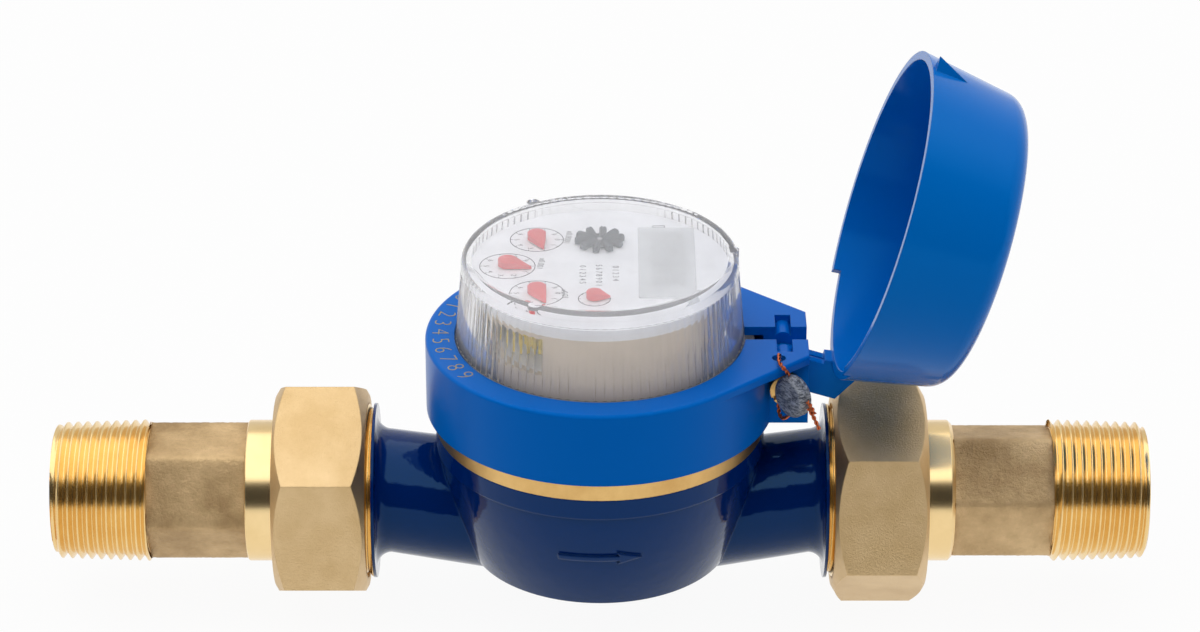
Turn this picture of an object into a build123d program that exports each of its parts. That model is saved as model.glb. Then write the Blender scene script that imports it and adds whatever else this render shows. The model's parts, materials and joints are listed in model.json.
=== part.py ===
from build123d import *
from math import acos, atan2, cos, degrees, hypot, pi, radians, sin, sqrt, tan
import os

# Water flow meter, one inch, with its two union couplings.
#
# A single-jet meter with a dry dial. The brass body is a bowl with two spigots,
# and each spigot carries a union nut and a threaded tailpiece. Over the bowl sit
# a brass head ring, a clear ribbed dome with the counter inside, and a blue
# clamp ring. The clamp ring's lug carries the hinged lid, its screw and a seal.
#
# Millimetres. X runs along the pipe with the flow, Z points up, and the origin
# is on the pipe axis at the middle of the body.

os.makedirs("parts", exist_ok=True)

# Fits
running_gap = 0.06
loose_gap = 0.3
press_gap = 0.0

# The clamp ring's radius, from which all that it grips or carries takes its place
ring_r = 41.3
ring_wall = 2.4
dome_play = 0.3
dome_wall = 2.0
dome_bottom_r = ring_r - 7.2
dome_top_r = dome_bottom_r - 1.5
dial_r = dome_top_r - dome_wall - 0.2
dial_unit = dial_r / 30.4

# Meter body
body_length = 130.0
spigot_thread_r = 20.955
relief_r = 19.4
relief_start_x = 57.5
spigot_flange_x = 54.2
spigot_flange_w = 0.7
spigot_flange_r = 21.0
pipe_r = 14.9
pipe_fillet_r = 3.4
pipe_root_r = 15.4
pipe_root_x = 22.0
pipe_drop = 4.6
water_way_r = 12.5
jet_r = 7.0
jet_offset_y = 10.0
jet_drop = 2.0
jet_end_x = 23.0
bowl_bottom_r = 31.4
bowl_bottom_z = -12.8
bowl_foot_r = 26.5
bowl_foot_z = -15.0
bowl_top_r = ring_r - 2.8
bowl_bulge = 1.2
band_r = ring_r - 2.1
band_bottom_z = 14.3
band_top_z = 19.4
chamber_r = 27.5
chamber_floor_z = -9.0
plate_seat_z = 12.5
plate_bore_r = band_r - 5.7
head_thread_r = band_r - 3.3

# Cast flow arrow on the front of the bowl
arrow_length = 19.5
arrow_shaft_w = 1.3
arrow_head_w = 3.4
arrow_head_l = 5.0
arrow_barb = 0.8
arrow_relief = 0.7
arrow_stand_off = 4.0
arrow_z = 2.6

# Chamber cover, head ring and bearings
cover_t = 4.0
cover_well_r = 11.0
cover_well_t = 1.6
o_ring_section_r = 1.2
head_bore_r = head_thread_r - 5.9
head_band_top_z = 24.2
head_groove_r = ring_r - 4.8
head_lip_r = ring_r - 3.0
head_lip_bottom_z = 27.0
head_lip_top_z = 29.5
bearing_r = 2.4
bearing_t = 2.6
pivot_depth = 1.4

# Impeller
vane_count = 8
impeller_r = 26.3
impeller_bottom_z = -7.0
impeller_top_z = 8.0
impeller_hub_r = 5.0
vane_t = 1.4
spindle_r = 1.0
magnet_r = 4.2
magnet_bore_r = 1.6
drive_magnet_t = 3.0
follower_magnet_t = 3.0
magnet_gap = 0.8

# Register
register_r = ring_r - ring_wall - 2.3
register_wall = 1.8
register_floor_t = 2.0
register_top_z = 38.2
register_well_r = 9.5
housing_r = dial_r - 0.4
housing_wall = 1.5
housing_top_z = 57.9
deck_t = 1.5
deck_hole_gap = 0.25
bearing_plate_z = 44.0
bearing_plate_t = 1.5
window_start_deg = 200.0
window_sweep_deg = 44.0
window_bottom_z = 45.6
window_top_z = 55.1
dial_t = 1.2
arbor_r = 0.7
gear_module = 0.35 * dial_unit
gear_teeth = 34
gear_t = 1.2
gear_step_z = 2.0
lowest_gear_z = 47.0
pointer_hub_radii = [2.2 * dial_unit, 2.2 * dial_unit, 2.2 * dial_unit, 1.85 * dial_unit]
pointer_hub_t = 1.8
pointer_lengths = [6.0 * dial_unit, 6.0 * dial_unit, 6.0 * dial_unit, 3.7 * dial_unit]
pointer_cap_t = 0.6
pointer_root_w = 2.6
pointer_tip_w = 0.4
pointer_t = 0.6
pointer_lift = 0.3
pointer_places = [
    (-15.0 * dial_unit, 14.2 * dial_unit),
    (-21.7 * dial_unit, 0.2 * dial_unit),
    (-14.6 * dial_unit, -13.8 * dial_unit),
    (-1.3 * dial_unit, -16.6 * dial_unit),
]
pointer_headings_deg = [-74.0, -19.0, -70.0, 0.0]
star_place = (-0.1 * dial_unit, 12.6 * dial_unit)
star_lobes = 10
star_r = 5.9 * dial_unit
star_root_r = 3.4 * dial_unit
star_tip_share = 0.14
star_t = 0.8
star_hub_r = 1.5
star_hub_t = 1.4
drum_count = 5
drum_r = 6.2
drum_pitch = 5.3 * dial_unit
drum_w = drum_pitch - 0.5
drum_x = 16.2 * dial_unit
drum_mid_y = 3.7 * dial_unit
drum_axis_z = 52.6
drum_shaft_r = 1.0
drum_bore_gap = 0.06
slot_half_x = 3.8
deck_slot_half_x = 5.4
bracket_t = 1.5
bracket_w = 5.0
bracket_top = 1.4

# Dome
dome_top_z = 64.2
dome_edge_r = 2.6
dome_rib_count = 100
dome_rib_depth = 0.45
dome_rib_top_z = 60.4
dome_flange_top_z = 40.4
boss_r = 1.6
boss_place_r = dome_top_r - boss_r
boss_turns_deg = [2.0, 121.0, 241.5]
boss_bottom_z = 61.0

# Clamp ring and its lug
ring_bottom_z = 24.4
ring_top_z = 42.6
ring_edge_r = 0.8
ring_opening_r = dome_bottom_r + dome_play
ring_lip_t = 2.2
ring_foot_t = 2.2
ring_foot_bore_r = head_groove_r + dome_play
split_half_w = 3.2
split_start_x = 20.0
lug_face_x = ring_r + 7.7
lug_half_w = 11.7
lug_block_half_w = 10.8
lug_root_x = ring_r - 11.3
lug_shelf_t = 2.2
pocket_x = ring_r + 2.1
pocket_w = 3.7
pocket_half_l = 9.4
pocket_depth = 3.4
seal_hole_r = 1.6
seal_hole_x = ring_r + 0.5
seal_hole_y = -12.6

# Lid and its hinge on the clamp screw
hinge_x = ring_r + 2.3
hinge_z = 34.4
lid_open_deg = 107.0
lid_rim_z = 42.9
lid_r = ring_r - 1.7
lid_h = 26.6
lid_wall = 2.0
lid_taper_deg = 10.5
lid_edge_r = 5.0
lid_crown = 1.0
rim_step = 1.8
rim_step_half_deg = 42.0
arm_half_t = 2.8
arm_half_w = 4.05
arm_shoulder_z = 48.3
arm_top_z = 53.4
tab_half_w = 2.5
tab_out = 3.0
tab_root = 1.2
tab_start = 0.9
tab_l = 9.0
tab_tip_half_w = 0.3
screw_r = 2.0
screw_head_r = 3.8
screw_head_t = 2.8
screw_slot_w = 0.9
screw_slot_depth = 0.9
nut_across = 7.0
nut_t = 3.2
wire_hole_r = 0.8

# Seal on its wire
seal_centre = (hinge_x + 1.4, -19.0, 36.0)
seal_r = 5.0
seal_t = 3.6
seal_edge_r = 1.1
seal_face_deg = 219.7
wire_r = 0.5
wire_tail_r = 0.45

# Union couplings
gasket_t = 2.2
gasket_r = 19.2
tail_bore_r = 13.0
tail_flange_t = 5.0
tail_flange_r = 19.3
collar_r = 16.95
collar_l = 12.2
collar_chamfer = 0.9
hex_across = 29.0
hex_l = 23.5
pipe_thread_l = 22.8
pipe_thread_r = 16.62
thread_chamfer = 0.9
union_l = 22.1
union_across = 48.4
union_lip_t = 5.5
union_end_r = 23.0
union_chamfer_deg = 30.0
union_bore_gap = 0.07
inlet_nut_corner_deg = 31.1
outlet_nut_corner_deg = 43.4
inlet_hex_face_deg = 26.4
outlet_hex_face_deg = 46.3

# Inlet strainer
strainer_flange_r = 15.8
strainer_flange_t = 1.4
strainer_r = 12.2
strainer_wall = 1.0
strainer_l = 14.0
strainer_hole_r = 1.15
strainer_hole_pitch = 3.4

# Places that follow from the sizes above
half_body = body_length / 2
cover_top_z = plate_seat_z + cover_t
register_floor_z = head_lip_top_z + register_floor_t
register_well_z = cover_top_z + magnet_gap
deck_z = housing_top_z - deck_t
dial_top_z = housing_top_z + dial_t
pointer_cap_z = dial_top_z + pointer_lift + pointer_hub_t - pointer_cap_t
gasket_end = half_body + gasket_t
collar_start = gasket_end + tail_flange_t
hex_start = collar_start + collar_l
thread_start = hex_start + hex_l
tail_end = thread_start + pipe_thread_l
union_end = collar_start + union_lip_t
union_start = union_end - union_l


def ring_solid(outer_r, inner_r, bottom_z, top_z):
    """A plain ring about the Z axis."""
    height = top_z - bottom_z
    base = Pos(0, 0, bottom_z)
    solid = base * Cylinder(outer_r, height, align=(Align.CENTER, Align.CENTER, Align.MIN))
    if inner_r > 0:
        solid -= base * Cylinder(inner_r, height, align=(Align.CENTER, Align.CENTER, Align.MIN))
    return solid


def turned(points):
    """Revolve (radius, z) points about the Z axis."""
    outline = make_face(Polyline([(r, 0, z) for r, z in points], close=True))
    return revolve(outline, Axis.Z)


def along_pipe(points, side):
    """Revolve (distance from the middle, radius) points about the pipe axis."""
    outline = make_face(Polyline([(side * x, 0, r) for x, r in points], close=True))
    return revolve(outline, Axis.X)


def pipe_cylinder(radius, near, far, side):
    """A cylinder on the pipe axis between two distances from the middle."""
    return along_pipe([(near, 0), (near, radius), (far, radius), (far, 0)], side)


def pipe_section(x, y, z, radius):
    """A round section across the pipe."""
    return Plane(origin=(x, y, z), x_dir=(0, 1, 0), z_dir=(1, 0, 0)) * Circle(radius)


def hexagon_bar(across, near, far, side, angle_deg):
    """A hexagon bar on the pipe axis, with a corner at an angle above the front."""
    corner_r = across / sqrt(3)
    corners = []
    for step in range(6):
        turn = radians(angle_deg + 60 * step)
        corners.append((side * near, -corner_r * cos(turn), corner_r * sin(turn)))
    face = make_face(Polyline(corners, close=True))
    return extrude(face, amount=far - near, dir=(side, 0, 0))


def gear_wheel(teeth, module, thickness, bore_r):
    """A spur gear with straight-flanked teeth, its lower face on the XY plane."""
    pitch_r = module * teeth / 2
    tip_r = pitch_r + module
    root_r = pitch_r - 1.25 * module
    tooth_turn = 2 * pi / teeth
    outline = []
    for tooth in range(teeth):
        centre = tooth * tooth_turn
        for radius, share in ((root_r, -0.36), (tip_r, -0.13), (tip_r, 0.13), (root_r, 0.36)):
            turn = centre + share * tooth_turn
            outline.append((radius * cos(turn), radius * sin(turn)))
    wheel = extrude(make_face(Polyline(outline, close=True)), amount=thickness)
    return wheel - Cylinder(bore_r, 4 * thickness)


def cast_spigot(side):
    """One spigot of the body: thread, relief groove, flange and drooping pipe."""
    flange_back_x = spigot_flange_x - spigot_flange_w
    fillet_x = flange_back_x - pipe_fillet_r
    fillet_mid = pipe_fillet_r * (1 - sin(radians(45)))
    corners = [
        (fillet_x, pipe_r),
        (fillet_x, 0),
        (half_body, 0),
        (half_body, spigot_thread_r),
        (relief_start_x, spigot_thread_r),
        (relief_start_x, relief_r),
        (spigot_flange_x, relief_r),
        (spigot_flange_x, spigot_flange_r),
        (flange_back_x, spigot_flange_r),
        (flange_back_x, pipe_r + pipe_fillet_r),
    ]
    straight = Polyline([(side * x, 0, r) for x, r in corners])
    rounded = ThreePointArc(
        (side * flange_back_x, 0, pipe_r + pipe_fillet_r),
        (side * (flange_back_x - fillet_mid), 0, pipe_r + fillet_mid),
        (side * fillet_x, 0, pipe_r),
    )
    spigot = revolve(make_face(Wire(straight.edges() + [rounded])), Axis.X)
    outer = pipe_section(side * fillet_x, 0, 0, pipe_r)
    inner = pipe_section(side * pipe_root_x, 0, -pipe_drop, pipe_root_r)
    return spigot + loft([outer, inner])


def water_way(side):
    """The bore of one spigot, narrowing to a jet at one side of the chamber."""
    bore_end_x = half_body - 18.0
    straight = pipe_cylinder(water_way_r, bore_end_x, half_body + 1, side)
    outer = pipe_section(side * bore_end_x, 0, 0, water_way_r)
    inner = pipe_section(side * jet_end_x, jet_offset_y, -jet_drop, jet_r)
    return straight + loft([outer, inner])


def flow_arrow():
    """The arrow cast on the front of the bowl, pointing along the flow."""
    half = arrow_length / 2
    neck = half - arrow_head_l
    barb = neck - arrow_barb
    points = [
        (-half, arrow_shaft_w / 2),
        (neck, arrow_shaft_w / 2),
        (barb, arrow_head_w / 2),
        (half, 0),
        (barb, -arrow_head_w / 2),
        (neck, -arrow_shaft_w / 2),
        (-half, -arrow_shaft_w / 2),
    ]
    start_y = -bowl_top_r - arrow_stand_off
    front = Plane(origin=(0, start_y, arrow_z), x_dir=(1, 0, 0), z_dir=(0, 1, 0))
    return extrude(front * make_face(Polyline(points, close=True)), amount=3 * arrow_stand_off)


def bowl_outline(offset):
    """The bowl's outer outline from its foot to its band, moved outwards by an offset."""
    mid_r = (bowl_bottom_r + bowl_top_r) / 2 + bowl_bulge
    mid_z = (bowl_bottom_z + band_bottom_z) / 2
    return ThreePointArc(
        (bowl_bottom_r + offset, 0, bowl_bottom_z),
        (mid_r + offset, 0, mid_z),
        (bowl_top_r + offset, 0, band_bottom_z),
    )


def bowl_solid(offset):
    """The bowl without its band, moved outwards by an offset."""
    lines = [
        Line((0, 0, bowl_foot_z), (bowl_foot_r, 0, bowl_foot_z)),
        Line((bowl_foot_r, 0, bowl_foot_z), (bowl_bottom_r + offset, 0, bowl_bottom_z)),
        bowl_outline(offset),
        Line((bowl_top_r + offset, 0, band_bottom_z), (0, 0, band_bottom_z)),
        Line((0, 0, band_bottom_z), (0, 0, bowl_foot_z)),
    ]
    return revolve(make_face(Wire(lines)), Axis.Z)


def meter_body():
    """The brass casting: bowl, band and both spigots, with the water way through them."""
    solid = bowl_solid(0) + ring_solid(band_r, 0, band_bottom_z, band_top_z)
    solid += cast_spigot(-1) + cast_spigot(1)
    belly = Cylinder(pipe_root_r, 2 * pipe_root_x, rotation=(0, 90, 0))
    solid += Pos(0, 0, -pipe_drop) * belly
    solid += flow_arrow() & bowl_solid(arrow_relief)
    solid -= ring_solid(chamber_r, 0, chamber_floor_z, plate_seat_z)
    solid -= ring_solid(plate_bore_r, 0, plate_seat_z, cover_top_z)
    solid -= ring_solid(head_thread_r, 0, cover_top_z, band_top_z)
    solid -= water_way(-1) + water_way(1)
    solid -= ring_solid(bearing_r, 0, chamber_floor_z - bearing_t, chamber_floor_z)
    counterbore_end = half_body - strainer_flange_t
    solid -= pipe_cylinder(strainer_flange_r + 0.2, counterbore_end, half_body, -1)
    return solid


def head_ring():
    """The brass ring screwed into the body, with the groove that the clamp ring grips."""
    return turned([
        (head_bore_r, cover_top_z),
        (head_thread_r - press_gap, cover_top_z),
        (head_thread_r - press_gap, band_top_z),
        (band_r, band_top_z),
        (band_r, head_band_top_z),
        (head_groove_r, head_band_top_z),
        (head_groove_r, head_lip_bottom_z),
        (head_lip_r, head_lip_bottom_z),
        (head_lip_r, head_lip_top_z),
        (head_bore_r, head_lip_top_z),
    ])


def chamber_cover():
    """The plate that closes the wet chamber, with its seal groove and bearing seat."""
    groove_r = plate_bore_r - 2 * o_ring_section_r
    groove_mid_z = plate_seat_z + cover_t / 2
    return turned([
        (bearing_r, plate_seat_z),
        (plate_bore_r, plate_seat_z),
        (plate_bore_r, groove_mid_z - o_ring_section_r),
        (groove_r, groove_mid_z - o_ring_section_r),
        (groove_r, groove_mid_z + o_ring_section_r),
        (plate_bore_r, groove_mid_z + o_ring_section_r),
        (plate_bore_r, cover_top_z),
        (0, cover_top_z),
        (0, plate_seat_z + bearing_t),
        (bearing_r, plate_seat_z + bearing_t),
    ])


def cover_seal():
    """The rubber ring in the cover's groove."""
    height = plate_seat_z + cover_t / 2
    return Pos(0, 0, height) * Torus(plate_bore_r - o_ring_section_r, o_ring_section_r)


def bearing(face_z, up):
    """A pivot bearing: a small turned cup that opens towards the impeller."""
    back_z = face_z + up * bearing_t
    pivot_z = face_z + up * pivot_depth
    pivot_r = spindle_r + running_gap
    return turned([
        (pivot_r, face_z),
        (bearing_r, face_z),
        (bearing_r, back_z),
        (0, back_z),
        (0, pivot_z),
        (pivot_r, pivot_z),
    ])


def impeller():
    """The vaned wheel, with a socket for its magnet."""
    height = impeller_top_z - impeller_bottom_z
    vane_l = impeller_r - impeller_hub_r + 1
    wheel = ring_solid(impeller_hub_r, spindle_r, impeller_bottom_z, impeller_top_z)
    web_mid_z = (impeller_bottom_z + impeller_top_z) / 2
    wheel += ring_solid(impeller_r - 6, spindle_r, web_mid_z - 0.6, web_mid_z + 0.6)
    for step in range(vane_count):
        vane = Box(vane_l, vane_t, height, align=(Align.MIN, Align.CENTER, Align.MIN))
        vane = Pos(impeller_hub_r - 1, 0, impeller_bottom_z) * vane
        wheel += vane.rotate(Axis.Z, step * 360 / vane_count)
    return wheel


def impeller_spindle():
    """The hard pivot pin of the impeller, between the two bearings."""
    end_play = 0.1
    bottom_z = chamber_floor_z - pivot_depth + end_play
    top_z = plate_seat_z + pivot_depth - end_play
    return ring_solid(spindle_r, 0, bottom_z, top_z)


def drive_magnet():
    """The ring magnet on top of the impeller."""
    return ring_solid(magnet_r, spindle_r, impeller_top_z, impeller_top_z + drive_magnet_t)


def register_base():
    """The dry cup under the counter, with the well for the follower magnet."""
    floor_bottom_z = head_lip_top_z
    well_wall_r = register_well_r + 1.2
    return turned([
        (0, register_well_z),
        (well_wall_r, register_well_z),
        (well_wall_r, floor_bottom_z),
        (register_r, floor_bottom_z),
        (register_r, register_top_z),
        (register_r - register_wall, register_top_z),
        (register_r - register_wall, register_floor_z),
        (register_well_r, register_floor_z),
        (register_well_r, register_well_z + 1.2),
        (0, register_well_z + 1.2),
    ])


def gear_housing():
    """The drum round the gears, its deck bored for the arbors, open at the front left."""
    inner_r = housing_r - housing_wall
    solid = ring_solid(housing_r, inner_r, register_floor_z, deck_z)
    solid += ring_solid(housing_r, 0, deck_z, housing_top_z)
    window = ring_solid(housing_r + 1, inner_r - 1, window_bottom_z, window_top_z)
    reach = (housing_r + 2) / cos(radians(window_sweep_deg / 2))
    corners = [(0, 0)]
    for turn_deg in (window_start_deg, window_start_deg + window_sweep_deg):
        corners.append((reach * cos(radians(turn_deg)), reach * sin(radians(turn_deg))))
    sector = extrude(make_face(Polyline(corners, close=True)), amount=2 * housing_top_z)
    solid -= window & sector
    for x, y in pointer_places + [star_place]:
        solid -= Pos(x, y, deck_z) * Cylinder(arbor_r + deck_hole_gap, 10)
    return solid - drum_opening(deck_slot_half_x, deck_z - 1, housing_top_z + 1)


def drum_opening(half_x, bottom_z, top_z):
    """The slot in which the drums show."""
    length = drum_count * drum_pitch + 1.0
    height = top_z - bottom_z
    slot = Box(2 * half_x, length, height, align=(Align.CENTER, Align.CENTER, Align.MIN))
    return Pos(drum_x, drum_mid_y, bottom_z) * slot


def bearing_plate():
    """The plate that carries the lower ends of the arbors and the drum brackets."""
    plate_r = housing_r - housing_wall
    top_z = bearing_plate_z + bearing_plate_t
    solid = ring_solid(plate_r, 0, bearing_plate_z, top_z)
    for x, y in pointer_places + [star_place]:
        solid -= Pos(x, y, top_z) * Cylinder(arbor_r + running_gap, 1.6)
    follower_hole = Pos(0, 0, bearing_plate_z) * Cylinder(arbor_r + deck_hole_gap, 10)
    solid -= follower_hole
    half_l = drum_count * drum_pitch / 2 + 0.6
    for side in (-1, 1):
        height = drum_axis_z + drum_shaft_r + bracket_top - top_z
        bracket_y = drum_mid_y + side * (half_l + bracket_t / 2)
        bracket = Box(
            bracket_w, bracket_t, height, align=(Align.CENTER, Align.CENTER, Align.MIN)
        )
        bracket = Pos(drum_x, bracket_y, top_z) * bracket
        shaft_hole = Cylinder(drum_shaft_r, 10, rotation=(90, 0, 0))
        solid += bracket - Pos(drum_x, bracket_y, drum_axis_z) * shaft_hole
    return solid


def dial_plate():
    """The printed plate, bored for the arbors and slotted for the drums."""
    plate = ring_solid(dial_r, 0, housing_top_z, dial_top_z)
    for x, y in pointer_places + [star_place]:
        plate -= Pos(x, y, dial_top_z) * Cylinder(arbor_r + deck_hole_gap, 10)
    return plate - drum_opening(slot_half_x, housing_top_z - 1, dial_top_z + 1)


def arbor(place, top_z):
    """A thin upright shaft from the bearing plate to above the dial."""
    foot_z = bearing_plate_z + bearing_plate_t - 0.7
    return Pos(place[0], place[1], 0) * ring_solid(arbor_r, 0, foot_z, top_z)


def pointer(index):
    """A pointer with a round hub and a tapering tip, pressed on its arbor."""
    hub_r = pointer_hub_radii[index]
    length = pointer_lengths[index]
    hub = Cylinder(hub_r, pointer_hub_t, align=(Align.CENTER, Align.CENTER, Align.MIN))
    root = pointer_root_w / 2
    tip = pointer_tip_w / 2
    corners = [(0, -root), (length, -tip), (length, tip), (0, root)]
    blade = extrude(make_face(Polyline(corners, close=True)), amount=pointer_t)
    shape = hub + blade - Cylinder(arbor_r, 2 * (pointer_hub_t - pointer_cap_t))
    x, y = pointer_places[index]
    heading_deg = pointer_headings_deg[index]
    return Pos(x, y, dial_top_z + pointer_lift) * shape.rotate(Axis.Z, heading_deg)


def pointer_gear(index):
    """The wheel on a pointer's arbor, each at its own height."""
    x, y = pointer_places[index]
    height = lowest_gear_z + index * gear_step_z
    return Pos(x, y, height) * gear_wheel(gear_teeth, gear_module, gear_t, arbor_r)


def star_wheel():
    """The lobed wheel that shows the smallest flow."""
    outline = []
    for lobe in range(star_lobes):
        centre = 2 * pi * lobe / star_lobes
        step = 2 * pi / star_lobes
        corners = ((star_root_r, -0.5), (star_r, -star_tip_share), (star_r, star_tip_share))
        for radius, share in corners:
            turn = centre + share * step
            outline.append((radius * cos(turn), radius * sin(turn)))
    shape = extrude(make_face(Polyline(outline, close=True)), amount=star_t)
    shape += Cylinder(star_hub_r, star_hub_t, align=(Align.CENTER, Align.CENTER, Align.MIN))
    shape -= Cylinder(arbor_r, 2 * (star_hub_t - pointer_cap_t))
    return Pos(star_place[0], star_place[1], dial_top_z + pointer_lift) * shape


def star_gear():
    """The wheel on the star's arbor."""
    height = lowest_gear_z + gear_step_z
    return Pos(star_place[0], star_place[1], height) * gear_wheel(18, gear_module, gear_t, arbor_r)


def follower_shaft():
    """The upright shaft that carries the turning of the follower magnet to the gears."""
    return ring_solid(arbor_r, 0, register_well_z + 1.3, bearing_plate_z + bearing_plate_t + 2.4)


def follower_magnet():
    """The magnet in the dry well, turned by the one on the impeller."""
    bottom_z = register_well_z + 1.5
    return ring_solid(magnet_r, arbor_r, bottom_z, bottom_z + follower_magnet_t)


def follower_pinion():
    """The first pinion of the train."""
    height = bearing_plate_z + bearing_plate_t + 0.8
    return Pos(0, 0, height) * gear_wheel(12, gear_module, gear_t, arbor_r)


def drum_shaft():
    """The fixed shaft through all number drums."""
    half_l = drum_count * drum_pitch / 2 + 0.6 + bracket_t
    shaft = Cylinder(drum_shaft_r, 2 * half_l, rotation=(90, 0, 0))
    return Pos(drum_x, drum_mid_y, drum_axis_z) * shaft


def number_drum(index):
    """One number drum, with the notched shoulder that moves its neighbour."""
    body = Cylinder(drum_r, drum_w, rotation=(90, 0, 0))
    body -= Cylinder(drum_shaft_r + drum_bore_gap, drum_w + 1, rotation=(90, 0, 0))
    y = drum_mid_y + (index - (drum_count - 1) / 2) * drum_pitch
    return Pos(drum_x, y, drum_axis_z) * body


def dome_radius(z):
    """The dome's outer radius at a height, over the ribs."""
    share = (z - ring_top_z) / (dome_top_z - dome_edge_r - ring_top_z)
    return dome_bottom_r + (dome_top_r - dome_bottom_r) * share


def ribbed_ring(bottom_z, top_z):
    """The ribbed band round the dome, narrower at the top."""
    narrowing = dome_bottom_r - dome_top_r
    taper_deg = degrees(atan2(narrowing, dome_top_z - dome_edge_r - ring_top_z))
    outline = []
    step = 2 * pi / dome_rib_count
    base_r = dome_radius(bottom_z)
    for rib in range(dome_rib_count):
        for radius, share in ((base_r, 0.0), (base_r - dome_rib_depth, 0.5)):
            turn = (rib + share) * step
            outline.append((radius * cos(turn), radius * sin(turn)))
    face = Pos(0, 0, bottom_z) * make_face(Polyline(outline, close=True))
    return extrude(face, amount=top_z - bottom_z, taper=taper_deg)


def register_dome():
    """The clear cover: a foot under the clamp ring's lip, a ribbed wall and a smooth top."""
    edge_z = dome_top_z - dome_edge_r
    edge_in = dome_edge_r * (1 - sin(radians(45)))
    cap_lines = [
        Line((0, 0, dome_rib_top_z), (dome_radius(dome_rib_top_z), 0, dome_rib_top_z)),
        Line((dome_radius(dome_rib_top_z), 0, dome_rib_top_z), (dome_top_r, 0, edge_z)),
        ThreePointArc(
            (dome_top_r, 0, edge_z),
            (dome_top_r - edge_in, 0, dome_top_z - edge_in),
            (dome_top_r - dome_edge_r, 0, dome_top_z),
        ),
        Line((dome_top_r - dome_edge_r, 0, dome_top_z), (0, 0, dome_top_z)),
        Line((0, 0, dome_top_z), (0, 0, dome_rib_top_z)),
    ]
    solid = revolve(make_face(Wire(cap_lines)), Axis.Z)
    solid += ribbed_ring(ring_top_z, dome_rib_top_z)
    solid += ring_solid(dome_bottom_r, 0, dome_flange_top_z, ring_top_z)
    solid += ring_solid(register_r, 0, register_top_z, dome_flange_top_z)
    for turn_deg in boss_turns_deg:
        height = dome_top_z - boss_bottom_z
        boss = Cylinder(boss_r, height, align=(Align.CENTER, Align.CENTER, Align.MIN))
        turn = radians(turn_deg)
        place = (boss_place_r * cos(turn), boss_place_r * sin(turn), boss_bottom_z)
        solid += Pos(*place) * boss
    solid -= turned([
        (0, register_top_z),
        (dome_bottom_r - dome_wall, register_top_z),
        (dome_bottom_r - dome_wall, ring_top_z),
        (dome_top_r - dome_wall, edge_z),
        (dome_top_r - dome_edge_r, dome_top_z - dome_wall),
        (0, dome_top_z - dome_wall),
    ])
    return solid


def lug_plan(half_w):
    """The lug seen from above: its outer face, and sides that run into the ring."""
    reach = hypot(lug_face_x, half_w)
    touch_turn = atan2(half_w, lug_face_x) + acos(ring_r / reach)
    touch = (ring_r * cos(touch_turn), ring_r * sin(touch_turn))
    corners = [
        (lug_face_x, -half_w),
        (lug_face_x, half_w),
        touch,
        (0, touch[1]),
        (0, -touch[1]),
        (touch[0], -touch[1]),
    ]
    return make_face(Polyline(corners, close=True))


def clamp_ring():
    """The split blue ring that holds the dome on the head ring, and its lug."""
    inner_r = ring_r - ring_wall
    solid = ring_solid(ring_r, 0, ring_bottom_z, ring_top_z)
    shelf = Pos(0, 0, ring_top_z - lug_shelf_t) * lug_plan(lug_half_w)
    solid += extrude(shelf, amount=lug_shelf_t)
    block_l = lug_face_x - lug_root_x
    block_h = ring_top_z - ring_bottom_z
    block = Box(
        block_l, 2 * lug_block_half_w, block_h, align=(Align.MIN, Align.CENTER, Align.MIN)
    )
    solid += Pos(lug_root_x, 0, ring_bottom_z) * block
    solid = fillet(ring_top_edges(solid), ring_edge_r)
    solid -= ring_solid(inner_r, 0, ring_bottom_z + ring_foot_t, ring_top_z - ring_lip_t)
    solid -= ring_solid(ring_foot_bore_r, 0, ring_bottom_z, ring_bottom_z + ring_foot_t)
    solid -= ring_solid(ring_opening_r, 0, ring_top_z - ring_lip_t, ring_top_z)
    split_l = lug_face_x - split_start_x + 1
    split = Box(split_l, 2 * split_half_w, 100, align=(Align.MIN, Align.CENTER, Align.CENTER))
    solid -= Pos(split_start_x, 0, ring_bottom_z) * split
    pocket = Box(
        pocket_w, 2 * pocket_half_l, pocket_depth, align=(Align.CENTER, Align.CENTER, Align.MAX)
    )
    saddle_r = pocket_w / 2 + 0.2
    saddle = Cylinder(saddle_r, 2 * pocket_half_l, rotation=(90, 0, 0))
    saddle = Pos(pocket_x, 0, ring_top_z - pocket_depth) * saddle
    solid -= Pos(pocket_x, 0, ring_top_z) * pocket - saddle
    solid -= Pos(seal_hole_x, seal_hole_y, ring_top_z) * Cylinder(seal_hole_r, 3 * lug_shelf_t)
    solid -= Pos(hinge_x, 0, hinge_z) * Cylinder(screw_r + 0.05, 60, rotation=(90, 0, 0))
    nut_depth = nut_t + 0.3
    nut_hole = extrude(RegularPolygon(nut_across / 2, 6, major_radius=False), amount=nut_depth)
    nut_hole = nut_hole.rotate(Axis.X, 90)
    solid -= Pos(hinge_x, lug_block_half_w, hinge_z) * nut_hole
    return solid


def ring_top_edges(solid):
    """The round outer edge at the top of the clamp ring."""
    edges = solid.edges().filter_by(GeomType.CIRCLE)
    return [edge for edge in edges if abs(edge.center().Z - ring_top_z) < 0.01]


def clamp_nut():
    """The brass nut let into the back of the lug."""
    nut = extrude(RegularPolygon(nut_across / 2, 6, major_radius=False), amount=nut_t)
    nut -= Cylinder(screw_r, 20)
    nut = nut.rotate(Axis.X, 90)
    return Pos(hinge_x, lug_block_half_w - 0.3, hinge_z) * nut


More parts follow.
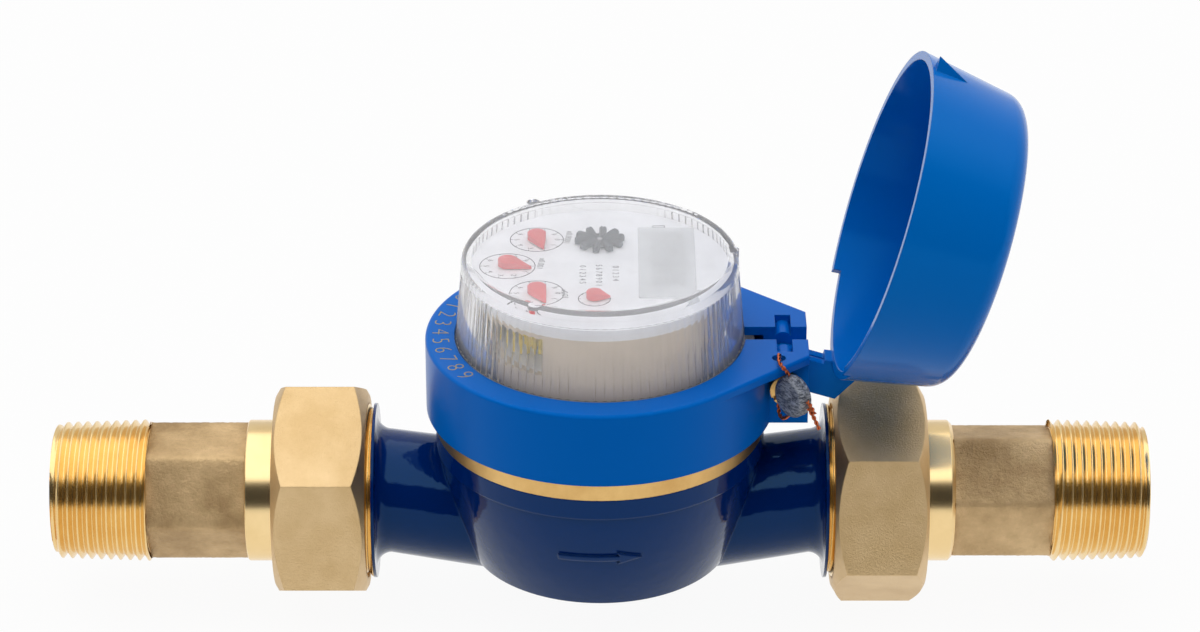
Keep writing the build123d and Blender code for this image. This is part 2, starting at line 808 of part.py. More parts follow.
def clamp_screw():
    """The brass screw across the lug: it draws the ring tight and carries the lid."""
    shank_l = 2 * lug_block_half_w - 0.3
    shank = Cylinder(screw_r, shank_l, align=(Align.CENTER, Align.CENTER, Align.MIN))
    shank = shank.rotate(Axis.X, -90)
    head = Cylinder(screw_head_r, screw_head_t, align=(Align.CENTER, Align.CENTER, Align.MIN))
    slot = Box(2 * screw_head_r + 1, screw_slot_w, 2 * screw_slot_depth)
    head -= Pos(0, 0, screw_head_t) * slot.rotate(Axis.Z, 35)
    head = head.rotate(Axis.X, 90)
    screw = Pos(hinge_x, -lug_block_half_w, hinge_z) * (shank + head)
    wire_hole = Pos(seal_hole_x, seal_hole_y, hinge_z) * Cylinder(wire_hole_r, 4 * screw_head_r)
    return screw - wire_hole


def lid_shell():
    """The cap of the lid, closed and upright."""
    def outline(rim_r, height, edge_r, crown):
        slope = radians(lid_taper_deg)
        shoulder_r = rim_r - tan(slope) * (height - edge_r)
        turn = radians(45) + slope / 2
        centre_r = shoulder_r - edge_r * cos(slope)
        centre_z = lid_rim_z + height - edge_r - edge_r * sin(slope)
        top_z = centre_z + edge_r
        crown_r = (centre_r ** 2 + crown ** 2) / (2 * crown)
        crown_mid_z = top_z + crown - crown_r + sqrt(crown_r ** 2 - (centre_r / 2) ** 2)
        return [
            Line((0, 0, lid_rim_z), (rim_r, 0, lid_rim_z)),
            Line((rim_r, 0, lid_rim_z), (shoulder_r, 0, lid_rim_z + height - edge_r)),
            ThreePointArc(
                (shoulder_r, 0, lid_rim_z + height - edge_r),
                (centre_r + edge_r * cos(turn), 0, centre_z + edge_r * sin(turn)),
                (centre_r, 0, top_z),
            ),
            ThreePointArc(
                (centre_r, 0, top_z),
                (centre_r / 2, 0, crown_mid_z),
                (0, 0, top_z + crown),
            ),
            Line((0, 0, top_z + crown), (0, 0, lid_rim_z)),
        ]
    outside = revolve(make_face(Wire(outline(lid_r, lid_h, lid_edge_r, lid_crown))), Axis.Z)
    inner_edge_r = lid_edge_r - lid_wall
    inside_lines = outline(lid_r - lid_wall, lid_h - lid_wall, inner_edge_r, lid_crown)
    return outside - revolve(make_face(Wire(inside_lines)), Axis.Z)


def hinge_arm():
    """The arm on the lid's skirt that reaches down into the lug, with the screw's eye."""
    inner_x = hinge_x - arm_half_w
    outer_x = hinge_x + arm_half_w
    skirt_r = lid_r - lid_wall / 2
    top_x = skirt_r - tan(radians(lid_taper_deg)) * (arm_top_z - lid_rim_z)
    points = [
        (inner_x, hinge_z),
        (outer_x, hinge_z),
        (outer_x, arm_shoulder_z),
        (top_x + lid_wall / 2, arm_top_z),
        (top_x, arm_top_z),
        (skirt_r - 0.1, lid_rim_z),
        (inner_x, lid_rim_z),
    ]
    face = make_face(Polyline([(x, -arm_half_t, z) for x, z in points], close=True))
    arm = extrude(face, amount=2 * arm_half_t, dir=(0, 1, 0))
    eye = Cylinder(arm_half_w, 2 * arm_half_t, rotation=(90, 0, 0))
    arm += Pos(hinge_x, 0, hinge_z) * eye
    groove = Box(0.9, 0.7, 9.0, align=(Align.CENTER, Align.CENTER, Align.MIN))
    arm -= Pos(inner_x, 0, hinge_z) * groove
    hole = Cylinder(screw_r + running_gap, 20, rotation=(90, 0, 0))
    return arm - Pos(hinge_x, 0, hinge_z) * hole


def thumb_tab():
    """The small wedge on the skirt, opposite the hinge, for lifting the lid."""
    sections = []
    for along, half_w, out in ((tab_start, tab_half_w, tab_out), (tab_l, tab_tip_half_w, 0.05)):
        wall_r = lid_r - tan(radians(lid_taper_deg)) * along
        root_x = tab_root - wall_r
        corners = [(root_x, -half_w), (-wall_r - out, 0), (root_x, half_w)]
        sections.append(Pos(0, 0, lid_rim_z + along) * make_face(Polyline(corners, close=True)))
    return loft(sections)


def rim_wedge():
    """The wedge that takes a step out of the lid's rim on the hinge side."""
    reach = lid_r + 8
    half_w = reach * tan(radians(rim_step_half_deg))
    low_z = lid_rim_z - 1
    corners = [(0, 0, low_z), (reach, -half_w, low_z), (reach, half_w, low_z)]
    return extrude(make_face(Polyline(corners, close=True)), amount=rim_step + 1)


def lid():
    """The lid, modelled closed and then swung open about its hinge."""
    solid = lid_shell() - rim_wedge()
    solid += hinge_arm()
    solid += thumb_tab() - lid_core()
    return solid.rotate(Axis((hinge_x, 0, hinge_z), (0, 1, 0)), lid_open_deg)


def lid_core():
    """The room inside the lid's skirt."""
    return ring_solid(lid_r - lid_wall - 0.5, 0, lid_rim_z - 1, lid_rim_z + 10)


def seal_frame():
    """The plane of the seal's outer face, at the middle of the disc."""
    turn = radians(seal_face_deg)
    across = (-sin(turn), cos(turn), 0)
    return Plane(origin=seal_centre, x_dir=across, z_dir=(cos(turn), sin(turn), 0))


def seal_point(across, up, out):
    """A point in the seal's own frame: across and up its face, and out of it."""
    turn = radians(seal_face_deg)
    x = seal_centre[0] - across * sin(turn) + out * cos(turn)
    y = seal_centre[1] + across * cos(turn) + out * sin(turn)
    return (x, y, seal_centre[2] + up)


def lead_seal():
    """The pressed lead disc, with rounded edges and the pinch line round its rim."""
    disc = Cylinder(seal_r, seal_t)
    disc = fillet(disc.edges().filter_by(GeomType.CIRCLE), seal_edge_r)
    groove = Torus(seal_r + 0.15, 0.35)
    disc -= groove
    placed = seal_frame() * disc
    return placed


def smooth_route(points):
    """Straight runs joined by arcs that are as large as the runs allow."""
    vectors = [Vector(*point) for point in points]
    radii = []
    for before, here, after in zip(vectors, vectors[1:], vectors[2:]):
        turn = radians((here - before).get_angle(after - here))
        shorter = min((here - before).length, (after - here).length)
        radii.append(0.45 * shorter / tan(turn / 2))
    return FilletPolyline(*points, radius=radii), radii


def tube(points, radius):
    """A round tube along a smooth route."""
    route, radii = smooth_route(points)
    print("wire length", round(route.length, 1), "smallest bend", round(min(radii), 2))
    section = Plane(origin=route @ 0, z_dir=route % 0) * Circle(radius)
    return sweep(section, path=route)


def seal_wire():
    """The seal's wire: from the disc over the shelf, down through the screw's head and back."""
    return tube(wire_route, wire_r)


wire_route = [
    seal_point(-1.2, 5.05, 0.2),
    (seal_hole_x + 0.8, -18.9, 43.2),
    (seal_hole_x - 0.2, -17.3, 44.0),
    (seal_hole_x, -14.0, 44.4),
    (seal_hole_x, seal_hole_y, 43.2),
    (seal_hole_x, seal_hole_y, 29.3),
    (seal_hole_x + 0.6, -15.4, 28.2),
    (seal_hole_x + 1.8, -17.6, 29.4),
    seal_point(-0.9, -5.05, 0.2),
]


upper_end_route = [
    seal_point(5.1, 0.6, 0.1),
    seal_point(6.6, 0.2, 0.3),
    seal_point(8.4, -1.0, 0.9),
]
lower_end_route = [
    seal_point(5.0, -1.3, -0.3),
    seal_point(6.7, -2.7, -0.4),
    seal_point(8.9, -5.3, -0.3),
]


def wire_end(route):
    """One cut end of the wire on the far side of the disc."""
    return tube(route, wire_tail_r)


def union_nut(side, corner_deg):
    """A union nut: a hexagon chamfered at both ends, a threaded bore and a lip."""
    bar = hexagon_bar(union_across, union_start, union_end, side, corner_deg)
    corner_r = union_across / sqrt(3) + 1
    chamfer_l = (corner_r - union_end_r) * tan(radians(union_chamfer_deg))
    envelope = along_pipe([
        (union_start, 0),
        (union_start, union_end_r),
        (union_start + chamfer_l, corner_r),
        (union_end - chamfer_l, corner_r),
        (union_end, union_end_r),
        (union_end, 0),
    ], side)
    solid = bar & envelope
    solid -= pipe_cylinder(spigot_thread_r + union_bore_gap, union_start, collar_start, side)
    solid -= pipe_cylinder(collar_r + 0.2, collar_start, union_end, side)
    return solid


def tailpiece(side, face_deg):
    """A tailpiece: flange, turned collar, cast hexagon and pipe thread."""
    turned_part = along_pipe([
        (gasket_end, 0),
        (gasket_end, tail_flange_r),
        (collar_start, tail_flange_r),
        (collar_start, collar_r),
        (hex_start - collar_chamfer, collar_r),
        (hex_start, collar_r - collar_chamfer),
        (hex_start, 0),
    ], side)
    hexagon = hexagon_bar(hex_across, hex_start, thread_start, side, face_deg + 30)
    thread = along_pipe([
        (thread_start, 0),
        (thread_start, pipe_thread_r),
        (tail_end - thread_chamfer, pipe_thread_r),
        (tail_end, pipe_thread_r - thread_chamfer),
        (tail_end, 0),
    ], side)
    bore = pipe_cylinder(tail_bore_r, gasket_end, tail_end, side)
    return turned_part + hexagon + thread - bore


def gasket(side):
    """The flat rubber ring between spigot and tailpiece."""
    ring = pipe_cylinder(gasket_r, half_body, gasket_end, side)
    return ring - pipe_cylinder(tail_bore_r, half_body, gasket_end, side)


def inlet_strainer():
    """The plastic sieve in the inlet: a flange, a sleeve and a drilled end."""
    flange_x = half_body - strainer_flange_t
    end_x = half_body - strainer_l
    solid = pipe_cylinder(strainer_flange_r, flange_x, half_body, -1)
    solid += pipe_cylinder(strainer_r, end_x, half_body, -1)
    solid -= pipe_cylinder(strainer_r - strainer_wall, end_x + strainer_wall, half_body, -1)
    reach = strainer_r - strainer_wall - strainer_hole_r
    count = int(reach / strainer_hole_pitch)
    for row in range(-count, count + 1):
        for column in range(-count, count + 1):
            y = row * strainer_hole_pitch
            z = column * strainer_hole_pitch
            if hypot(y, z) <= reach:
                drill = Cylinder(strainer_hole_r, 6, rotation=(0, 90, 0))
                solid -= Pos(-end_x, y, z) * drill
    return solid


def save(name, shape):
    """Write one sub-part."""
    solids = shape.solids()
    shape = solids[0] if len(solids) == 1 else Compound(children=solids)
    export_step(shape, os.path.join("parts", name + ".step"))


save("meter_body", meter_body())
save("head_ring", head_ring())
save("chamber_cover", chamber_cover())
save("cover_seal", cover_seal())
save("lower_bearing", bearing(chamber_floor_z, -1))
save("upper_bearing", bearing(plate_seat_z, 1))
save("impeller", impeller())
save("impeller_spindle", impeller_spindle())
save("drive_magnet", drive_magnet())
save("register_base", register_base())
save("gear_housing", gear_housing())
save("bearing_plate", bearing_plate())
save("dial_plate", dial_plate())
save("register_dome", register_dome())
save("follower_shaft", follower_shaft())
save("follower_magnet", follower_magnet())
save("follower_pinion", follower_pinion())
save("star_wheel", star_wheel())
save("star_arbor", arbor(star_place, dial_top_z + pointer_lift + star_hub_t - pointer_cap_t))
save("star_gear", star_gear())
for index, place in enumerate(pointer_places):
    number = str(index + 1)
    save("pointer_" + number, pointer(index))
    save("pointer_arbor_" + number, arbor(place, pointer_cap_z))
    save("pointer_gear_" + number, pointer_gear(index))
save("drum_shaft", drum_shaft())
for index in range(drum_count):
    save("number_drum_" + str(index + 1), number_drum(index))
save("clamp_ring", clamp_ring())
save("clamp_screw", clamp_screw())
save("clamp_nut", clamp_nut())
save("lid", lid())
save("seal_wire", seal_wire())
save("wire_end_upper", wire_end(upper_end_route))
save("wire_end_lower", wire_end(lower_end_route))
save("lead_seal", lead_seal())
save("inlet_strainer", inlet_strainer())
save("gasket_inlet", gasket(-1))
save("gasket_outlet", gasket(1))
save("tailpiece_inlet", tailpiece(-1, inlet_hex_face_deg))
save("tailpiece_outlet", tailpiece(1, outlet_hex_face_deg))
save("union_nut_inlet", union_nut(-1, inlet_nut_corner_deg))
save("union_nut_outlet", union_nut(1, outlet_nut_corner_deg))
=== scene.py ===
"""The water flow meter as it is photographed: camera, light, materials and fine detail."""
import json
import math

import bmesh
import bpy
import numpy as np
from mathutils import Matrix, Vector


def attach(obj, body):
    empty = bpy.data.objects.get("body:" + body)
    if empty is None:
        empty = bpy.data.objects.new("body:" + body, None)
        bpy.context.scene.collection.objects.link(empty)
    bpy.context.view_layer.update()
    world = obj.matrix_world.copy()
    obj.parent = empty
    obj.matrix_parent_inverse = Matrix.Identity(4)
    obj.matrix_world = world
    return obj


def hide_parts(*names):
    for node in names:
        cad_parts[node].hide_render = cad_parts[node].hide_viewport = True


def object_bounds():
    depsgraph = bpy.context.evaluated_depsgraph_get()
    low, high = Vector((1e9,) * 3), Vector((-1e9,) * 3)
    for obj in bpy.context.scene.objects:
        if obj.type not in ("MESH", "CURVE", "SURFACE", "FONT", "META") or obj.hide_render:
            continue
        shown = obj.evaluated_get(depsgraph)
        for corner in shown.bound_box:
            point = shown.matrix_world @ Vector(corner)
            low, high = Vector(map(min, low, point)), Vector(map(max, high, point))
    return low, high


MM = 0.001
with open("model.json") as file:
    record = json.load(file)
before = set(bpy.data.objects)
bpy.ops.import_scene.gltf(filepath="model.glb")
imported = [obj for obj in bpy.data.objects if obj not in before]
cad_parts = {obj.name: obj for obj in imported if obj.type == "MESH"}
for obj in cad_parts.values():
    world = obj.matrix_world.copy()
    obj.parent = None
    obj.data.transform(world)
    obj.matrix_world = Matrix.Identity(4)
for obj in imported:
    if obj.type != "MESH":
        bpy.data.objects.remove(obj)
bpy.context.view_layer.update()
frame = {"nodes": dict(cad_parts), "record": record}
nodes = frame["nodes"]
scene = bpy.context.scene

# Camera, in metres and degrees, its lens and sensor in millimetres
CAMERA_PLACE = (0.0, -0.8689, 0.4950)
CAMERA_DOWN_DEG = 27.267
LENS = 124.4
SENSOR_WIDTH = 36.0
CLIP_START = 0.05
CLIP_END = 20.0

# Studio light, where 1 is white, and the floor, whose corners are in metres
TOP_LIGHT = 1.58
BACK_LIGHT = 0.75
ROOM_LIGHT = 0.05
BELOW_LIGHT = 0.75
GLASS_GAIN = 0.35
FLOOR_GREY = 0.7
FLOOR_GLOW = 0.94
FLOOR_FRONT_LEFT = (-4, -4)
FLOOR_BACK_RIGHT = (4, 6)

# Sizes shared with the solids, in millimetres
PITCH = 2.309
GASKET_END = 67.2
COLLAR_START = 72.2
HEX_START = 84.4
THREAD_START = 107.9
TAIL_END = 130.7
TAIL_BORE_R = 13.0
TAIL_FLANGE_R = 19.3
COLLAR_R = 16.95
HEX_ACROSS = 29.0
RING_TOP_Z = 42.6
DIAL_TOP_Z = 59.1
SEAL_PLACE = (45.0, -19.0, 36.0)
SEAL_FACE_DEG = 219.7
POINTER_PLACES = [(-15.0, 14.2), (-21.7, 0.2), (-14.6, -13.8), (-1.3, -16.6)]
POINTER_HEADINGS_DEG = [-74.0, -19.0, -70.0, 0.0]
STAR_PLACE = (-0.1, 12.6)
DRUMS = 5
DRUM_X = 16.2
DRUM_MID_Y = 3.7
DRUM_PITCH = 5.3
DRUM_AXIS_Z = 52.6
DRUM_R = 6.2

# Threads: one pitch of the crest's height, as shares of the pitch and of the depth
THREAD_PROFILE = [
    (0.0, 1.0), (0.05, 0.97), (0.09, 0.88), (0.25, 0.5), (0.41, 0.12), (0.45, 0.03),
    (0.5, 0.0), (0.55, 0.03), (0.59, 0.12), (0.75, 0.5), (0.91, 0.88), (0.95, 0.97),
]
THREAD_DEPTH = 1.3
GAUGE_R = 16.72
GAUGE_FROM_START = 11
TAPER = 1 / 32
TAIL_END_R = 15.4
CORE_START_R = 15.2
CORE_END_R = 14.9
BODY_THREAD_START = 54.25
BODY_THREAD_END = 57.4
BODY_THREAD_R = 20.85
SQUEEZED_FLAT = 1e-4

# Each tail: side, name, seed, and the turns in degrees of its hexagon, its thread and the body's
# thread beside it, then its collar's chamfer
TAILS = (
    (-1, "inlet", 5, 26.4, 20.0, -30.0, 0.3),
    (1, "outlet", 9, 46.3, 100.0, 60.0, 0.9),
)
HEX_CORNER_SOFT = 1.2
HEX_CORNER_CUT = 0.35
HEX_UNEVEN = 0.025

# Seal wire, two strands twisted together
STRAND_R = 0.27
STRAND_OUT = 0.25
TWIST = 2.6

# Pointers, as (hub radius, length to the tip's centre), level on top out to a distance and falling
# from there to the tip, all a little off the dial
LARGE_POINTER = (2.2, 5.8)
SMALL_POINTER = (1.85, 3.5)
POINTER_TIP_R = 0.22
POINTER_LEVEL = 1.2
POINTER_HEIGHT = 1.75
POINTER_FALL = 1.15
POINTER_SPINE = 0.9
HUB_STEPS = 32
FLANK_STEPS = 8
LIFT = 0.3

# Star wheel: petal sections as (distance out, half width, edge height, ridge height)
PETAL_SECTIONS = [
    (0.5, 0.1, 0.4, 0.8), (2.2, 0.42, 0.7, 1.2), (3.8, 0.68, 0.95, 1.5), (5.3, 0.86, 1.1, 1.55),
    (5.9, 0.66, 0.95, 1.3),
]
PETALS = 10
FIRST_PETAL_DEG = 9
PETAL_GROOVE = 0.35
STAR_DISC_R = 3.6
STAR_DISC_THICK = 0.45
STAR_DISC_STEPS = 40

# Printing on the dial, the drums and the clamp ring: negative bold is thinner, and figures over
# the bent height have their long edges split, so that they follow a drum
FIGURE_STEP_DEG = 36
INK = 0.04
THICK_INK = 0.05
SUB_DIAL_R = (6.4, 6.6, 6.4, 3.8)
LEAST_NUMBERED_R = 5
CIRCLE_LINE = 0.2
TICK_LINE = 0.16
TICK = 0.75
SMALL_TICK = 0.6
MARK_HEIGHT = 1.25
MARK_IN = 1.6
DIAL_FIGURES = [
    ("x0.0001", (-7.6, 15.4), -8), ("x0.001", (-13.9, 1.5), -8), ("x0.01", (-8.2, -14.2), 4),
    ("0 1 2 3 4 5", (-4.1, -4.2), 0), ("5 6 7 8 9 0 1", (-0.3, -4.6), 0), ("0 1 2 3 4", (3.6, -3.6), 0),
]
DIAL_FIGURE_HEIGHT = 1.5
DIAL_BOLD = -0.02
BOX_LOW = (12.6, 20.7)
BOX_HIGH = (15.4, 21.7)
BOX_LINE = 0.22
DRUM_FIGURE_HEIGHT = 3.4
DRUM_BOLD = 0.1
RING_FIGURE_HEIGHT = 4.2
RING_FIGURE_R = 37.9
RING_FIRST_DEG = 151
RING_STEP_DEG = 7.0
RING_BOLD = -0.14
CAPITAL_SHARE = 0.69
LONG_EDGE = 0.8
BENT_HEIGHT = 2.5

# Frosted pane over the drums
PANE_LOW = (9.5, -16.0)
PANE_HIGH = (21.9, 19.6)
PANE_CORNER_R = 0.5
PANE_THICK = 0.3

# Wheels behind the housing's window, as (radius, teeth, bottom, top)
YELLOW_WHEELS = [(3.4, 0, 46.0, 48.4), (5.6, 20, 48.4, 50.9)]
SLATE_WHEELS = [(2.4, 12, 46.0, 48.9)]
ARBOR_R = 0.78
TOOTH_DEPTH = 0.75
SLEEVE_STEPS = 32

# Materials: how much darker a mottle's dark tone is, and where the housing turns white
MOTTLE = 0.06
HOUSING_WHITE_Z = 56.2


def srgb(r, g, b):
    """Linear colour of a picture colour from 0 to 255."""
    def one(value):
        value /= 255
        return value / 12.92 if value <= 0.04045 else ((value + 0.055) / 1.055) ** 2.4
    return (one(r), one(g), one(b), 1.0)


def principled(name, colour, rough, metal=0.0, **inputs):
    """A plain material, and its shader node for what is added to it."""
    mat = bpy.data.materials.new(name)
    mat.use_nodes = True
    shader = mat.node_tree.nodes["Principled BSDF"]
    shader.inputs["Base Color"].default_value = colour
    shader.inputs["Roughness"].default_value = rough
    shader.inputs["Metallic"].default_value = metal
    for key, value in inputs.items():
        shader.inputs[key.replace("_", " ")].default_value = value
    return mat, shader


def add(owner, kind, **inputs):
    """A new node of a material or the world, with its inputs set."""
    node = owner.node_tree.nodes.new(kind)
    for key, value in inputs.items():
        node.inputs[key.replace("_", " ")].default_value = value
    return node


def join(owner, source, target):
    """Connects one socket to another."""
    owner.node_tree.links.new(source, target)


def maths(owner, operation, first, second=None):
    """The result of a maths node on sockets or numbers."""
    node = add(owner, "ShaderNodeMath")
    node.operation = operation
    for place, value in enumerate((first, second)):
        if isinstance(value, (int, float)):
            node.inputs[place].default_value = value
        elif value is not None:
            join(owner, value, node.inputs[place])
    return node.outputs[0]


def noise(mat, scale, detail, rough, stretch=(1, 1, 1)):
    """A noise texture in the object's own metres, scale in cycles per metre."""
    coords = add(mat, "ShaderNodeTexCoord")
    mapping = add(mat, "ShaderNodeMapping")
    mapping.inputs["Scale"].default_value = stretch
    texture = add(mat, "ShaderNodeTexNoise", Scale=scale, Detail=detail, Roughness=rough)
    join(mat, coords.outputs["Object"], mapping.inputs["Vector"])
    join(mat, mapping.outputs["Vector"], texture.inputs["Vector"])
    return texture


def bump(mat, shader, height, strength, distance):
    """Bumps a shader's surface by a height."""
    node = add(mat, "ShaderNodeBump", Strength=strength, Distance=distance)
    join(mat, height, node.inputs["Height"])
    join(mat, node.outputs["Normal"], shader.inputs["Normal"])
    return node


def round_edges(mat, shader, radius, bumped=None):
    """Rounds the look of sharp edges."""
    node = add(mat, "ShaderNodeBevel", Radius=radius)
    node.samples = 4
    target = bumped.inputs["Normal"] if bumped else shader.inputs["Normal"]
    join(mat, node.outputs["Normal"], target)


def ramp(mat, source, stops):
    """A colour ramp over a value."""
    node = add(mat, "ShaderNodeValToRGB")
    points = node.color_ramp.elements
    while len(points) > len(stops):
        points.remove(points[-1])
    while len(points) < len(stops):
        points.new(0.5)
    for point, (place, colour) in zip(points, stops):
        point.position = place
        point.color = colour
    join(mat, source, node.inputs["Fac"])
    return node


def smooth(obj, angle_deg):
    """Smooth shading that keeps edges sharper than the angle."""
    for polygon in obj.data.polygons:
        polygon.use_smooth = True
    obj.data.set_sharp_from_angle(angle=math.radians(angle_deg))


def mesh_piece(name, points, faces, mat, body, angle_deg=30):
    """A new mesh in millimetres that rides on a body."""
    mesh = bpy.data.meshes.new(name)
    mesh.from_pydata([Vector(p) * MM for p in points], [], faces)
    mesh.validate()
    work = bmesh.new()
    work.from_mesh(mesh)
    bmesh.ops.recalc_face_normals(work, faces=work.faces)
    work.to_mesh(mesh)
    work.free()
    obj = bpy.data.objects.new(name, mesh)
    scene.collection.objects.link(obj)
    mesh.materials.append(mat)
    smooth(obj, angle_deg)
    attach(obj, body)
    return obj


def ring_faces(count, around, closed=True, first=0):
    """Quads between rings of points, which start at a first point."""
    faces = []
    for ring in range(count if closed else count - 1):
        here = first + ring * around
        there = first + (ring + 1) % count * around
        for step in range(around):
            beside = (step + 1) % around
            faces.append((here + step, here + beside, there + beside, there + step))
    return faces


def solid_faces(count, around, first=0):
    """Quads between rings of points, and a face over each end."""
    last = first + (count - 1) * around
    ends = [tuple(range(first, first + around)), tuple(range(last, last + around))]
    return ring_faces(count, around, closed=False, first=first) + ends


def pipe_point(side, along, radius, turn):
    """A point round the pipe line, along it from the middle to one side."""
    return (side * along, -radius * math.cos(turn), radius * math.sin(turn))


def plan_point(place, ahead, aside, turn):
    """The x and y of a point ahead and aside of a place, seen from above."""
    x = ahead * math.cos(turn) - aside * math.sin(turn)
    y = ahead * math.sin(turn) + aside * math.cos(turn)
    return (place[0] + x, place[1] + y)


def between(start, end, parts):
    """Evenly spaced points between two points, without the two."""
    way_x = end[0] - start[0]
    way_y = end[1] - start[1]
    return [(start[0] + way_x * part / parts, start[1] + way_y * part / parts) for part in range(1, parts)]


# Materials

def brass(name, light, dark, rough, grain=0, grain_strength=0.0):
    """Brass with patches of two tones and, where it has one, a fine grain."""
    mat, shader = principled(name, light, rough, metal=1.0)
    patches = noise(mat, 60, detail=6.0, rough=0.65)
    colours = ramp(mat, patches.outputs["Fac"], [(0.35, dark), (0.65, light)])
    join(mat, colours.outputs["Color"], shader.inputs["Base Color"])
    if grain:
        fine = noise(mat, grain, detail=5.0, rough=0.7)
        bumped = bump(mat, shader, fine.outputs["Fac"], grain_strength, distance=0.0004)
        round_edges(mat, shader, 0.0004, bumped)
    else:
        round_edges(mat, shader, 0.0003)
    return mat


def blue_plastic(name, colour, rough, level):
    """Moulded gloss plastic, whose sheen is tinted so that its blue stays deep."""
    mat, shader = principled(
        name, colour, rough, Specular_IOR_Level=level, Specular_Tint=(0.05, 0.42, 0.9, 1), IOR=1.38,
    )
    fine = noise(mat, 700, detail=2.0, rough=0.5)
    bumped = bump(mat, shader, fine.outputs["Fac"], strength=0.04, distance=0.0002)
    round_edges(mat, shader, 0.00035, bumped)
    return mat


def navy_paint():
    """Thick gloss paint that has run a little over the casting."""
    mat, shader = principled(
        "navy_paint", srgb(0, 36, 104), 0.07,
        Specular_IOR_Level=1.0, Specular_Tint=(0.25, 0.62, 1.0, 1), IOR=1.3,
    )
    wave = noise(mat, 160, detail=3.0, rough=0.55)
    bumped = bump(mat, shader, wave.outputs["Fac"], strength=0.25, distance=0.0006)
    round_edges(mat, shader, 0.0006, bumped)
    return mat


def mottled(name, colour, rough, scale, grain, metal=0.0, **inputs):
    """A material with a faint mottle and grain, so that it isn't one flat colour."""
    mat, shader = principled(name, colour, rough, metal, **inputs)
    mottle = noise(mat, scale, detail=3.0, rough=0.6)
    darker = tuple(channel * (1 - MOTTLE) for channel in colour[:3]) + (1.0,)
    tones = ramp(mat, mottle.outputs["Fac"], [(0.35, darker), (0.65, colour)])
    join(mat, tones.outputs["Color"], shader.inputs["Base Color"])
    bump(mat, shader, mottle.outputs["Fac"], grain, distance=0.0001)
    return mat


def housing_material():
    """The counter's housing, tan below and white at its top."""
    tan, white = srgb(216, 198, 172), srgb(246, 246, 246)
    mat, shader = principled("housing_tan_and_white", tan, 0.5)
    place = add(mat, "ShaderNodeTexCoord")
    parts = add(mat, "ShaderNodeSeparateXYZ")
    join(mat, place.outputs["Object"], parts.inputs["Vector"])
    over = maths(mat, "GREATER_THAN", parts.outputs["Z"], HOUSING_WHITE_Z * MM)
    colour = ramp(mat, over, [(0.4, tan), (0.6, white)])
    join(mat, colour.outputs["Color"], shader.inputs["Base Color"])
    return mat


def pressed_lead():
    """Lead, scratched and dark in its hollows."""
    mat, shader = principled("lead", srgb(150, 154, 162), 0.4, metal=0.85)
    scratches = noise(mat, 700, detail=6.0, rough=0.8, stretch=(1, 1, 3))
    tones = ramp(mat, scratches.outputs["Fac"], [(0.42, srgb(84, 90, 100)), (0.6, srgb(196, 200, 206))])
    join(mat, tones.outputs["Color"], shader.inputs["Base Color"])
    bump(mat, shader, scratches.outputs["Fac"], strength=0.9, distance=0.0006)
    return mat


cast = brass("cast_brass", srgb(224, 194, 148), srgb(176, 146, 104), 0.5, 1100, 1.0)
turned = brass("turned_brass", srgb(248, 218, 162), srgb(240, 208, 150), 0.22)
threaded = brass("threaded_brass", srgb(246, 216, 158), srgb(238, 202, 138), 0.22)
white_plastic = mottled("white_plastic", srgb(246, 247, 248), 0.45, 260, 0.05)
slate_plastic = mottled("slate_plastic", srgb(62, 76, 86), 0.45, 320, 0.08)
red_plastic = mottled("red_plastic", srgb(236, 50, 54), 0.4, 320, 0.05)
yellow_plastic = mottled("yellow_plastic", srgb(252, 222, 36), 0.45, 300, 0.05)
copper = mottled("copper", srgb(206, 110, 68), 0.34, 1200, 0.15, metal=0.9)
frosted = mottled("frosted_pane", srgb(252, 254, 255), 0.35, 300, 0.05, Alpha=0.42)
drum_ink = mottled("drum_ink", srgb(20, 24, 30), 0.5, 900, 0.05)
print_black = mottled("print_black", srgb(40, 40, 44), 0.5, 900, 0.05)
gold_ink = mottled("gold_ink", srgb(176, 160, 112), 0.5, 900, 0.05)

slot_material = {
    "navy_paint": navy_paint(),
    "machined_brass": brass("band_brass", srgb(236, 196, 128), srgb(214, 170, 104), 0.36, 3000, 0.3),
    "forged_brass": brass("forged_brass", srgb(228, 198, 150), srgb(212, 180, 130), 0.42, 2200, 0.5),
    "cast_brass": cast,
    "blue_plastic": blue_plastic("ring_blue", srgb(0, 104, 200), 0.28, 0.26),
    "clear_plastic": mottled(
        "clear_dome", srgb(253, 253, 255), 0.02, 120, 0.02,
        Transmission_Weight=0.87, IOR=1.34, Specular_IOR_Level=0.3,
    ),
    "tan_plastic": mottled("tan_plastic", srgb(196, 178, 152), 0.5, 220, 0.08),
    "grey_plastic": mottled("grey_plastic", srgb(170, 168, 166), 0.5, 260, 0.06),
    "white_plastic": white_plastic,
    "slate_plastic": slate_plastic,
    "red_plastic": red_plastic,
    "yellow_plastic": yellow_plastic,
    "black_rubber": mottled("rubber", srgb(24, 24, 24), 0.6, 700, 0.2),
    "steel": mottled("steel", srgb(170, 170, 172), 0.3, 900, 0.1, metal=1.0),
    "magnet": mottled("magnet", srgb(40, 40, 42), 0.5, 600, 0.15),
    "copper": copper,
    "lead": pressed_lead(),
}
special = {
    "lid": blue_plastic("lid_blue", srgb(0, 108, 198), 0.16, 0.5),
    "dial_plate": mottled("dial_white", srgb(251, 252, 254), 0.5, 180, 0.03),
    "gear_housing": housing_material(),
    "bearing_plate": white_plastic,
}
for row in frame["record"]["subparts"]:
    obj = nodes[row["node"]]
    mat = special.get(row["node"], slot_material[row["material_slot"]])
    obj.data.materials.clear()
    obj.data.materials.append(mat)
    smooth(obj, angle_deg=28)


# Threaded tailpieces

